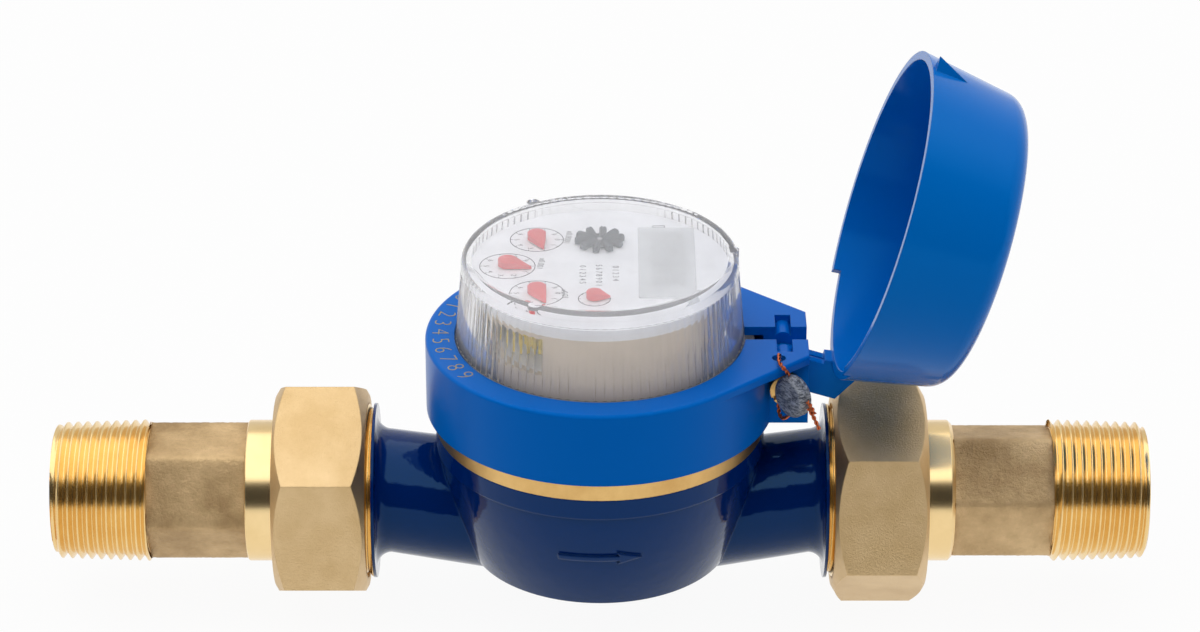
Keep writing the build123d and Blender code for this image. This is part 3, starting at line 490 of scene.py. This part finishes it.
def helix_sleeve(name, side, start, end, crest_r, body, turn_deg, around=96):
    """A right-hand external thread between two distances from the middle."""
    turns = int((end - start) / PITCH) + 3
    rings = []
    for turn in range(turns):
        for share, height in THREAD_PROFILE:
            rings.append((start - PITCH + (turn + share) * PITCH, height))
    points = []
    for base, height in rings:
        for step in range(around):
            angle = 2 * math.pi * step / around
            along = min(max(base + PITCH * step / around, start), end)
            radius = crest_r(along) - THREAD_DEPTH * (1 - height)
            points.append(pipe_point(side, along, radius, side * angle + math.radians(turn_deg)))
    faces = []
    count = len(rings)
    per_turn = len(THREAD_PROFILE)
    for ring in range(count - 1):
        for step in range(around):
            here = ring * around + step
            if step + 1 < around:
                faces.append((here, here + 1, here + around + 1, here + around))
            elif ring + per_turn + 1 < count:
                beside = (ring + per_turn) * around
                faces.append((here, beside, beside + around, here + around))
    keep = []
    for face in faces:
        stations = [round(abs(points[index][0]), 5) for index in face]
        if max(stations) - min(stations) > SQUEEZED_FLAT:
            keep.append(face)
    return mesh_piece(name, points, keep, threaded, body, angle_deg=50)


def turned_sleeve(name, side, outline, mat, body, around=96):
    """A closed turned ring from (distance, radius) points."""
    points = []
    for along, radius in outline:
        for step in range(around):
            points.append(pipe_point(side, along, radius, 2 * math.pi * step / around))
    return mesh_piece(name, points, ring_faces(len(outline), around), mat, body)


def thread_crest(along):
    """The taper thread's crest radius, with a chamfer at its end."""
    taper = GAUGE_R - (along - (THREAD_START + GAUGE_FROM_START)) * TAPER
    chamfer = TAIL_END_R + (TAIL_END - along)
    return min(taper, chamfer)


def soft_least(first, second, soft):
    """About the lesser of two lengths, with a soft change from one to the other."""
    return -soft * math.log(math.exp(-first / soft * 4) + math.exp(-second / soft * 4)) / 4


def rough_hexagon(name, side, face_deg, body, seed):
    """The cast hexagon, with soft corners and slightly uneven faces."""
    rng = np.random.default_rng(seed)
    around = 192
    rings = 40
    corner = HEX_ACROSS / math.sqrt(3) - HEX_CORNER_CUT
    points = []
    for ring in range(rings + 1):
        along = HEX_START + (THREAD_START - HEX_START) * ring / rings
        for step in range(around):
            turn = 2 * math.pi * step / around
            from_face = (turn - math.radians(face_deg) + math.pi / 6) % (math.pi / 3) - math.pi / 6
            flat = HEX_ACROSS / 2 / math.cos(from_face)
            radius = soft_least(flat, corner, HEX_CORNER_SOFT) + rng.normal(0, HEX_UNEVEN)
            points.append(pipe_point(side, along, radius, turn))
    for along in (THREAD_START, HEX_START):
        for step in range(around):
            points.append(pipe_point(side, along, TAIL_BORE_R, 2 * math.pi * step / around))
    return mesh_piece(name, points, ring_faces(rings + 3, around), cast, body, angle_deg=35)


for side, place, seed, face_deg, tail_turn, body_turn, chamfer in TAILS:
    body = place + "_tail"
    helix_sleeve(
        "thread_" + place, side, THREAD_START, TAIL_END, thread_crest, body, tail_turn,
    )
    hexagon = rough_hexagon("hexagon_" + place, side, face_deg, body, seed)
    turned_sleeve("collar_" + place, side, [
        (GASKET_END, TAIL_BORE_R), (GASKET_END, TAIL_FLANGE_R), (COLLAR_START, TAIL_FLANGE_R),
        (COLLAR_START, COLLAR_R), (HEX_START - chamfer, COLLAR_R), (HEX_START, COLLAR_R - chamfer),
        (HEX_START, TAIL_BORE_R),
    ], turned, body)
    turned_sleeve("thread_core_" + place, side, [
        (THREAD_START, TAIL_BORE_R), (THREAD_START, CORE_START_R), (TAIL_END, CORE_END_R),
        (TAIL_END, TAIL_BORE_R),
    ], threaded, body)
    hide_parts("tailpiece_" + place)
    helix_sleeve(
        "body_thread_" + place, side, BODY_THREAD_START, BODY_THREAD_END, lambda along: BODY_THREAD_R,
        "meter", body_turn,
    )


# Seal wire and its cut ends

def seal_point(across, up, out):
    """A point across and up the seal's face, and out of it."""
    return (*plan_point(SEAL_PLACE, out, across, math.radians(SEAL_FACE_DEG)), SEAL_PLACE[2] + up)


def nurbs_line(points, steps):
    """The points that a NURBS curve through given control points follows, in metres."""
    curve = bpy.data.curves.new("line", "CURVE")
    curve.dimensions = "3D"
    curve.resolution_u = steps
    spline = curve.splines.new("NURBS")
    spline.points.add(len(points) - 1)
    for point, place in zip(spline.points, points):
        point.co = (*[value * MM for value in place], 1)
    spline.order_u = 3
    spline.use_endpoint_u = True
    holder = bpy.data.objects.new("line", curve)
    mesh = bpy.data.meshes.new_from_object(holder)
    line = [tuple(vertex.co) for vertex in mesh.vertices]
    bpy.data.objects.remove(holder)
    bpy.data.meshes.remove(mesh)
    bpy.data.curves.remove(curve)
    return line


def strands(name, line, around=8):
    """Two copper wires twisted round each other along a line."""
    places = [Vector(point) / MM for point in line]
    along = [0.0]
    for before, after in zip(places, places[1:]):
        along.append(along[-1] + (after - before).length)
    side = Vector((0.3, 0.5, 0.8))
    frames = []
    for index, place in enumerate(places):
        ahead = places[min(index + 1, len(places) - 1)] - places[max(index - 1, 0)]
        ahead.normalize()
        side = (side - ahead * side.dot(ahead)).normalized()
        frames.append((place, side.copy(), ahead.cross(side)))
    points = []
    faces = []
    for strand in range(2):
        faces += solid_faces(len(frames), around, len(points))
        for index, (place, one, two) in enumerate(frames):
            turn = 2 * math.pi * along[index] / TWIST + math.pi * strand
            centre = place + (one * math.cos(turn) + two * math.sin(turn)) * STRAND_OUT
            for step in range(around):
                spin = 2 * math.pi * step / around
                points.append(centre + (one * math.cos(spin) + two * math.sin(spin)) * STRAND_R)
    return mesh_piece(name, points, faces, copper, "meter", angle_deg=60)


WIRE_ROUTE = [
    seal_point(-1.2, 5.05, 0.2), (42.6, -18.9, 43.2), (41.6, -17.3, 44.0), (41.8, -14.0, 44.4),
    (41.8, -12.6, 43.2), (41.8, -12.6, 29.3), (42.4, -15.4, 28.2), (43.6, -17.6, 29.4),
    seal_point(-0.9, -5.05, 0.2),
]
END_ROUTES = {
    "wire_end_upper": [
        seal_point(5.1, 0.6, 0.1), seal_point(6.6, 0.2, 0.3), seal_point(8.4, -1.0, 0.9),
    ],
    "wire_end_lower": [
        seal_point(5.0, -1.3, -0.3), seal_point(6.7, -2.7, -0.4), seal_point(8.9, -5.3, -0.3),
    ],
}
wire_line = nurbs_line(WIRE_ROUTE, steps=24)
wire = strands("twisted_wire", wire_line)
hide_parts("seal_wire")
for name, route in END_ROUTES.items():
    end = strands("strands_" + name, nurbs_line(route, steps=16))
    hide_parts(name)
wire_length = sum((Vector(b) - Vector(a)).length for a, b in zip(wire_line, wire_line[1:]))
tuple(wire_line[0])


# Counter: pointers, star wheel, printing, number drums and wheels

def pointer_cap(index):
    """A drop-shaped pointer: a tall round hub that runs out into a thin tip."""
    hub_r, length = LARGE_POINTER if index < 3 else SMALL_POINTER
    touch = math.acos((hub_r - POINTER_TIP_R) / length)
    tip_x = length + POINTER_TIP_R * math.cos(touch)
    tip_y = POINTER_TIP_R * math.sin(touch)
    outline = []
    for step in range(HUB_STEPS + 1):
        turn = touch + (2 * math.pi - 2 * touch) * step / HUB_STEPS
        outline.append((hub_r * math.cos(turn), hub_r * math.sin(turn)))
    outline += between(outline[-1], (tip_x, -tip_y), FLANK_STEPS)
    outline += [(tip_x, -tip_y), (length + POINTER_TIP_R, 0), (tip_x, tip_y)]
    outline += between((tip_x, tip_y), outline[0], FLANK_STEPS)
    place = POINTER_PLACES[index]
    heading = math.radians(POINTER_HEADINGS_DEG[index])
    points = []
    # Each ring is drawn in towards the pointer's spine, and lies on its foot or a drop below its top
    rings = ((1.0, None), (1.0, 0.22), (0.93, 0.06), (0.8, 0.0))
    for scale, drop in rings:
        for x, y in outline:
            out = min(max((x - POINTER_LEVEL) / (length - POINTER_LEVEL), 0), 1)
            z = 0.0 if drop is None else POINTER_HEIGHT - POINTER_FALL * out - drop
            ahead = x * scale + (1 - scale) * min(max(x, 0), length) * POINTER_SPINE
            points.append((*plan_point(place, ahead, y * scale, heading), DIAL_TOP_Z + LIFT + z))
    name = "pointer_" + str(index + 1)
    faces = solid_faces(len(rings), len(outline))
    piece = mesh_piece("cap_" + name, points, faces, red_plastic, name, angle_deg=40)
    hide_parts(name)


def star_petals():
    """Ten ridged petals that rise outwards from a dished middle."""
    points = []
    faces = []
    base = DIAL_TOP_Z + LIFT
    for petal in range(PETALS):
        turn = 2 * math.pi * petal / PETALS + math.radians(FIRST_PETAL_DEG)
        first = len(points)
        for radius, half_w, edge_h, ridge_h in PETAL_SECTIONS:
            profile = [
                (-half_w, 0), (-half_w, edge_h), (-half_w * 0.5, ridge_h), (0, ridge_h - PETAL_GROOVE),
                (half_w * 0.5, ridge_h), (half_w, edge_h), (half_w, 0),
            ]
            for across, up in profile:
                points.append((*plan_point(STAR_PLACE, radius, across, turn), base + up))
        faces += solid_faces(len(PETAL_SECTIONS), len(profile), first)
    faces += solid_faces(2, STAR_DISC_STEPS, len(points))
    for up in (0.0, STAR_DISC_THICK):
        for step in range(STAR_DISC_STEPS):
            turn = 2 * math.pi * step / STAR_DISC_STEPS
            points.append((*plan_point(STAR_PLACE, STAR_DISC_R, 0, turn), base + up))
    piece = mesh_piece("star_petals", points, faces, slate_plastic, "star", angle_deg=25)
    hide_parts("star_wheel")


def figures(words, height, bold, thick):
    """The mesh of a line of figures, in millimetres."""
    curve = bpy.data.curves.new("figures", "FONT")
    curve.body = words
    curve.size = height / CAPITAL_SHARE
    curve.resolution_u = 3
    curve.align_x = "CENTER"
    curve.align_y = "CENTER"
    curve.extrude = thick / 2
    curve.offset = bold
    holder = bpy.data.objects.new("figures", curve)
    scene.collection.objects.link(holder)
    bpy.context.view_layer.update()
    mesh = bpy.data.meshes.new_from_object(holder.evaluated_get(bpy.context.evaluated_depsgraph_get()))
    work = bmesh.new()
    work.from_mesh(mesh)
    bmesh.ops.remove_doubles(work, verts=work.verts, dist=1e-5)
    bmesh.ops.triangulate(work, faces=work.faces)
    long_edges = [edge for edge in work.edges if edge.calc_length() > LONG_EDGE]
    if long_edges and height > BENT_HEIGHT:
        bmesh.ops.subdivide_edges(work, edges=long_edges, cuts=2)
        bmesh.ops.triangulate(work, faces=work.faces)
    work.verts.ensure_lookup_table()
    points = [(v.co.x, v.co.y, v.co.z + thick / 2) for v in work.verts]
    faces = [tuple(v.index for v in face.verts) for face in work.faces]
    work.free()
    bpy.data.objects.remove(holder)
    bpy.data.meshes.remove(mesh)
    bpy.data.curves.remove(curve)
    return points, faces


class Print:
    """Flat printing gathered into one thin mesh."""

    def __init__(self):
        self.points = []
        self.faces = []

    def slab(self, outline, z, thick=INK):
        """A thin plate with a convex outline."""
        self.faces += solid_faces(2, len(outline), len(self.points))
        self.points += [(x, y, z + up) for up in (0, thick) for x, y in outline]

    def bar(self, start, end, width, z):
        """A straight line of some width."""
        start, end = Vector(start), Vector(end)
        way = end - start
        across = Vector((-way.y, way.x)).normalized() * width / 2
        corners = (start - across, end - across, end + across, start + across)
        self.slab([tuple(corner) for corner in corners], z)

    def ring(self, centre, radius, width, z, around=72):
        """A circle of some width."""
        self.faces += ring_faces(4, around, first=len(self.points))
        for reach, up in ((radius, 0), (radius, INK), (radius - width, INK), (radius - width, 0)):
            for step in range(around):
                self.points.append((*plan_point(centre, reach, 0, 2 * math.pi * step / around), z + up))

    def text(self, words, height, place, up_deg, z, bold, thick=INK, wrap=None):
        """Figures centred on a place, their tops towards up_deg."""
        points, faces = figures(words, height, bold, thick)
        turn = math.radians(up_deg - 90)
        moved = [(*plan_point(place, x, y, turn), z + up) for x, y, up in points]
        first = len(self.points)
        self.points += [wrap(point) for point in moved] if wrap else moved
        self.faces += [tuple(first + index for index in face) for face in faces]

    def piece(self, name, mat, body, slot):
        """The finished mesh."""
        return mesh_piece(name, self.points, self.faces, mat, body)


def dial_print():
    """The sub-dials' circles, ticks and figures, and the plain figures between them."""
    ink = Print()
    for place, radius in zip(POINTER_PLACES, SUB_DIAL_R):
        numbered = radius > LEAST_NUMBERED_R
        tick = TICK if numbered else SMALL_TICK
        centre = Vector(place)
        ink.ring(place, radius, CIRCLE_LINE, DIAL_TOP_Z)
        for mark in range(10):
            turn = math.radians(-FIGURE_STEP_DEG * mark)
            way = Vector((math.cos(turn), math.sin(turn)))
            ink.bar(centre + way * (radius - tick), centre + way * radius, TICK_LINE, DIAL_TOP_Z)
            if numbered:
                at = centre + way * (radius - MARK_IN)
                ink.text(str(mark), MARK_HEIGHT, at, 0, DIAL_TOP_Z, DIAL_BOLD)
    for words, place, up_deg in DIAL_FIGURES:
        ink.text(words, DIAL_FIGURE_HEIGHT, place, up_deg, DIAL_TOP_Z, DIAL_BOLD)
    (left, low), (right, high) = BOX_LOW, BOX_HIGH
    corners = [(left, low), (right, low), (right, high), (left, high)]
    for start, end in zip(corners, corners[1:] + corners[:1]):
        ink.bar(start, end, BOX_LINE, DIAL_TOP_Z)
    ink.piece("dial_print", print_black, "meter", "slate_plastic")


def drum_figures(index):
    """Ten figures round a number drum."""
    ink = Print()
    place = (DRUM_X, DRUM_MID_Y + (index - DRUMS // 2) * DRUM_PITCH)

    def wrap_at(start):
        def wrap(point):
            x, y, up = point
            turn = start + (x - DRUM_X) / DRUM_R
            reach = DRUM_R + up
            return (DRUM_X + reach * math.sin(turn), y, DRUM_AXIS_Z + reach * math.cos(turn))
        return wrap

    for figure in range(10):
        wrap = wrap_at(-figure * math.radians(FIGURE_STEP_DEG))
        ink.text(str(figure), DRUM_FIGURE_HEIGHT, place, 0, 0.0, DRUM_BOLD, THICK_INK, wrap)
    ink.piece("figures_drum_" + str(index + 1), drum_ink, "number_drum_" + str(index + 1), "slate_plastic")


def window_pane():
    """The frosted pane over the number drums."""
    pane = Print()
    (left, low), (right, high) = PANE_LOW, PANE_HIGH
    corners = []
    for x, y, start_deg in ((right, high, 0), (left, high, 90), (left, low, 180), (right, low, 270)):
        for step in range(5):
            turn = math.radians(start_deg + 90 * step / 4)
            corners.append(plan_point((x, y), PANE_CORNER_R, 0, turn))
    pane.slab(corners, DIAL_TOP_Z, PANE_THICK)
    pane.piece("window_pane", frosted, "meter", "clear_plastic")


def ring_print():
    """Plain figures let into the top of the clamp ring."""
    ink = Print()
    for step, figure in enumerate("0123456789"):
        turn_deg = RING_FIRST_DEG + RING_STEP_DEG * step
        place = plan_point((0, 0), RING_FIGURE_R, 0, math.radians(turn_deg))
        ink.text(figure, RING_FIGURE_HEIGHT, place, turn_deg + 180, RING_TOP_Z, RING_BOLD, THICK_INK)
    ink.piece("ring_figures", gold_ink, "meter", "machined_brass")


def gear_stack(name, place, wheels, mat, body):
    """Toothed wheels and plain sleeves on one arbor."""
    points = []
    faces = []
    for radius, teeth, bottom, top in wheels:
        count = teeth * 4 if teeth else SLEEVE_STEPS
        faces += ring_faces(4, count, first=len(points))
        for outer, z in ((True, bottom), (False, bottom), (False, top), (True, top)):
            for step in range(count):
                depth = TOOTH_DEPTH if teeth and step % 4 in (0, 3) else 0.0
                reach = radius - depth if outer else ARBOR_R
                points.append((*plan_point(place, reach, 0, 2 * math.pi * step / count), z))
    return mesh_piece(name, points, faces, mat, body)


gear_stack(
    "pinion_pointer_3", POINTER_PLACES[2], YELLOW_WHEELS, yellow_plastic, "pointer_3"
)
gear_stack(
    "pinion_pointer_2", POINTER_PLACES[1], SLATE_WHEELS, slate_plastic, "pointer_2"
)
for index in range(len(POINTER_PLACES)):
    pointer_cap(index)
star_petals()
dial_print()
for index in range(DRUMS):
    drum_figures(index)
window_pane()
ring_print()


# Floor

def pale_floor():
    """Pale paper, nearly white where the camera, glass and metal see it, with the object's shadow."""
    mat = bpy.data.materials.new("pale_floor")
    mat.use_nodes = True
    mat.node_tree.nodes.clear()
    paper = add(mat, "ShaderNodeBsdfDiffuse", Color=(FLOOR_GREY, FLOOR_GREY, FLOOR_GREY, 1.0))
    glow = add(mat, "ShaderNodeEmission", Color=(1, 1, 1, 1), Strength=1.0)
    rays = add(mat, "ShaderNodeLightPath")
    seen = maths(mat, "MAXIMUM", rays.outputs["Is Camera Ray"], rays.outputs["Is Transmission Ray"])
    seen = maths(mat, "MAXIMUM", seen, rays.outputs["Is Glossy Ray"])
    blend = add(mat, "ShaderNodeMixShader")
    join(mat, maths(mat, "MULTIPLY", seen, FLOOR_GLOW), blend.inputs["Fac"])
    join(mat, paper.outputs[0], blend.inputs[1])
    join(mat, glow.outputs[0], blend.inputs[2])
    output = add(mat, "ShaderNodeOutputMaterial")
    join(mat, blend.outputs[0], output.inputs["Surface"])
    return mat


floor_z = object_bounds()[0][2]
(left, front), (right, back) = FLOOR_FRONT_LEFT, FLOOR_BACK_RIGHT
floor_corners = [(x, y, floor_z) for x, y in ((left, front), (right, front), (right, back), (left, back))]
floor_mesh = bpy.data.meshes.new("floor")
floor_mesh.from_pydata(floor_corners, [], [(0, 1, 2, 3)])
floor_mesh.materials.append(pale_floor())
floor = bpy.data.objects.new("floor", floor_mesh)
scene.collection.objects.link(floor)

# Camera

camera_data = bpy.data.cameras.new("camera")
camera_data.lens = LENS
camera_data.sensor_width = SENSOR_WIDTH
camera_data.clip_start = CLIP_START
camera_data.clip_end = CLIP_END
camera = bpy.data.objects.new("camera", camera_data)
scene.collection.objects.link(camera)
camera.location = CAMERA_PLACE
camera.rotation_euler = (math.radians(90 - CAMERA_DOWN_DEG), 0, 0)
scene.camera = camera

# Studio: a pale backdrop, a soft light overhead and a dark room behind the camera

world = bpy.data.worlds.new("studio")
scene.world = world
world.use_nodes = True
world.node_tree.nodes.clear()


def step_up(value, place_deg, soft_deg):
    """Rises from 0 to 1 across an angle."""
    node = add(world, "ShaderNodeMapRange")
    node.interpolation_type = "SMOOTHSTEP"
    join(world, value, node.inputs["Value"])
    node.inputs["From Min"].default_value = math.radians(place_deg - soft_deg)
    node.inputs["From Max"].default_value = math.radians(place_deg + soft_deg)
    return node.outputs["Result"]


def level(share, low, high):
    """Goes from one light level to another as a share goes from 0 to 1."""
    return maths(world, "ADD", maths(world, "MULTIPLY", share, maths(world, "SUBTRACT", high, low)), low)


coords = add(world, "ShaderNodeTexCoord")
split = add(world, "ShaderNodeSeparateXYZ")
join(world, coords.outputs["Generated"], split.inputs["Vector"])
x, y, z = split.outputs
height = maths(world, "ARCSINE", z)
front = maths(world, "ARCTAN2", maths(world, "MULTIPLY", y, -1.0), maths(world, "ABSOLUTE", x))
above = step_up(height, 43, 2.0)
below = maths(world, "SUBTRACT", 1.0, step_up(height, -3, 1.5))
in_front = step_up(front, 20, 5)
lit = level(below, level(above, level(in_front, BACK_LIGHT, ROOM_LIGHT), TOP_LIGHT), BELOW_LIGHT)
studio = add(world, "ShaderNodeBackground", Color=(1, 1, 1, 1))
join(world, lit, studio.inputs["Strength"])

# A plain white for the camera and through glass, and stronger for light that reaches the counter
# through the dome, to make up for what the dome takes
path = add(world, "ShaderNodeLightPath")
lights_inside = maths(world, "GREATER_THAN", path.outputs["Diffuse Depth"], 0.5)
extra = maths(world, "ADD", maths(world, "MAXIMUM", maths(world, "SUBTRACT", lit, 1.0), 0.0), GLASS_GAIN)
plain = add(world, "ShaderNodeBackground", Color=(1, 1, 1, 1))
plain_strength = maths(world, "ADD", maths(world, "MULTIPLY", extra, lights_inside), 1.0)
join(world, plain_strength, plain.inputs["Strength"])
seen = maths(world, "MAXIMUM", path.outputs["Is Camera Ray"], path.outputs["Is Transmission Ray"])
mix = add(world, "ShaderNodeMixShader")
join(world, seen, mix.inputs["Fac"])
join(world, studio.outputs[0], mix.inputs[1])
join(world, plain.outputs[0], mix.inputs[2])
output = add(world, "ShaderNodeOutputWorld")
join(world, mix.outputs[0], output.inputs["Surface"])

scene.view_settings.view_transform = "Standard"
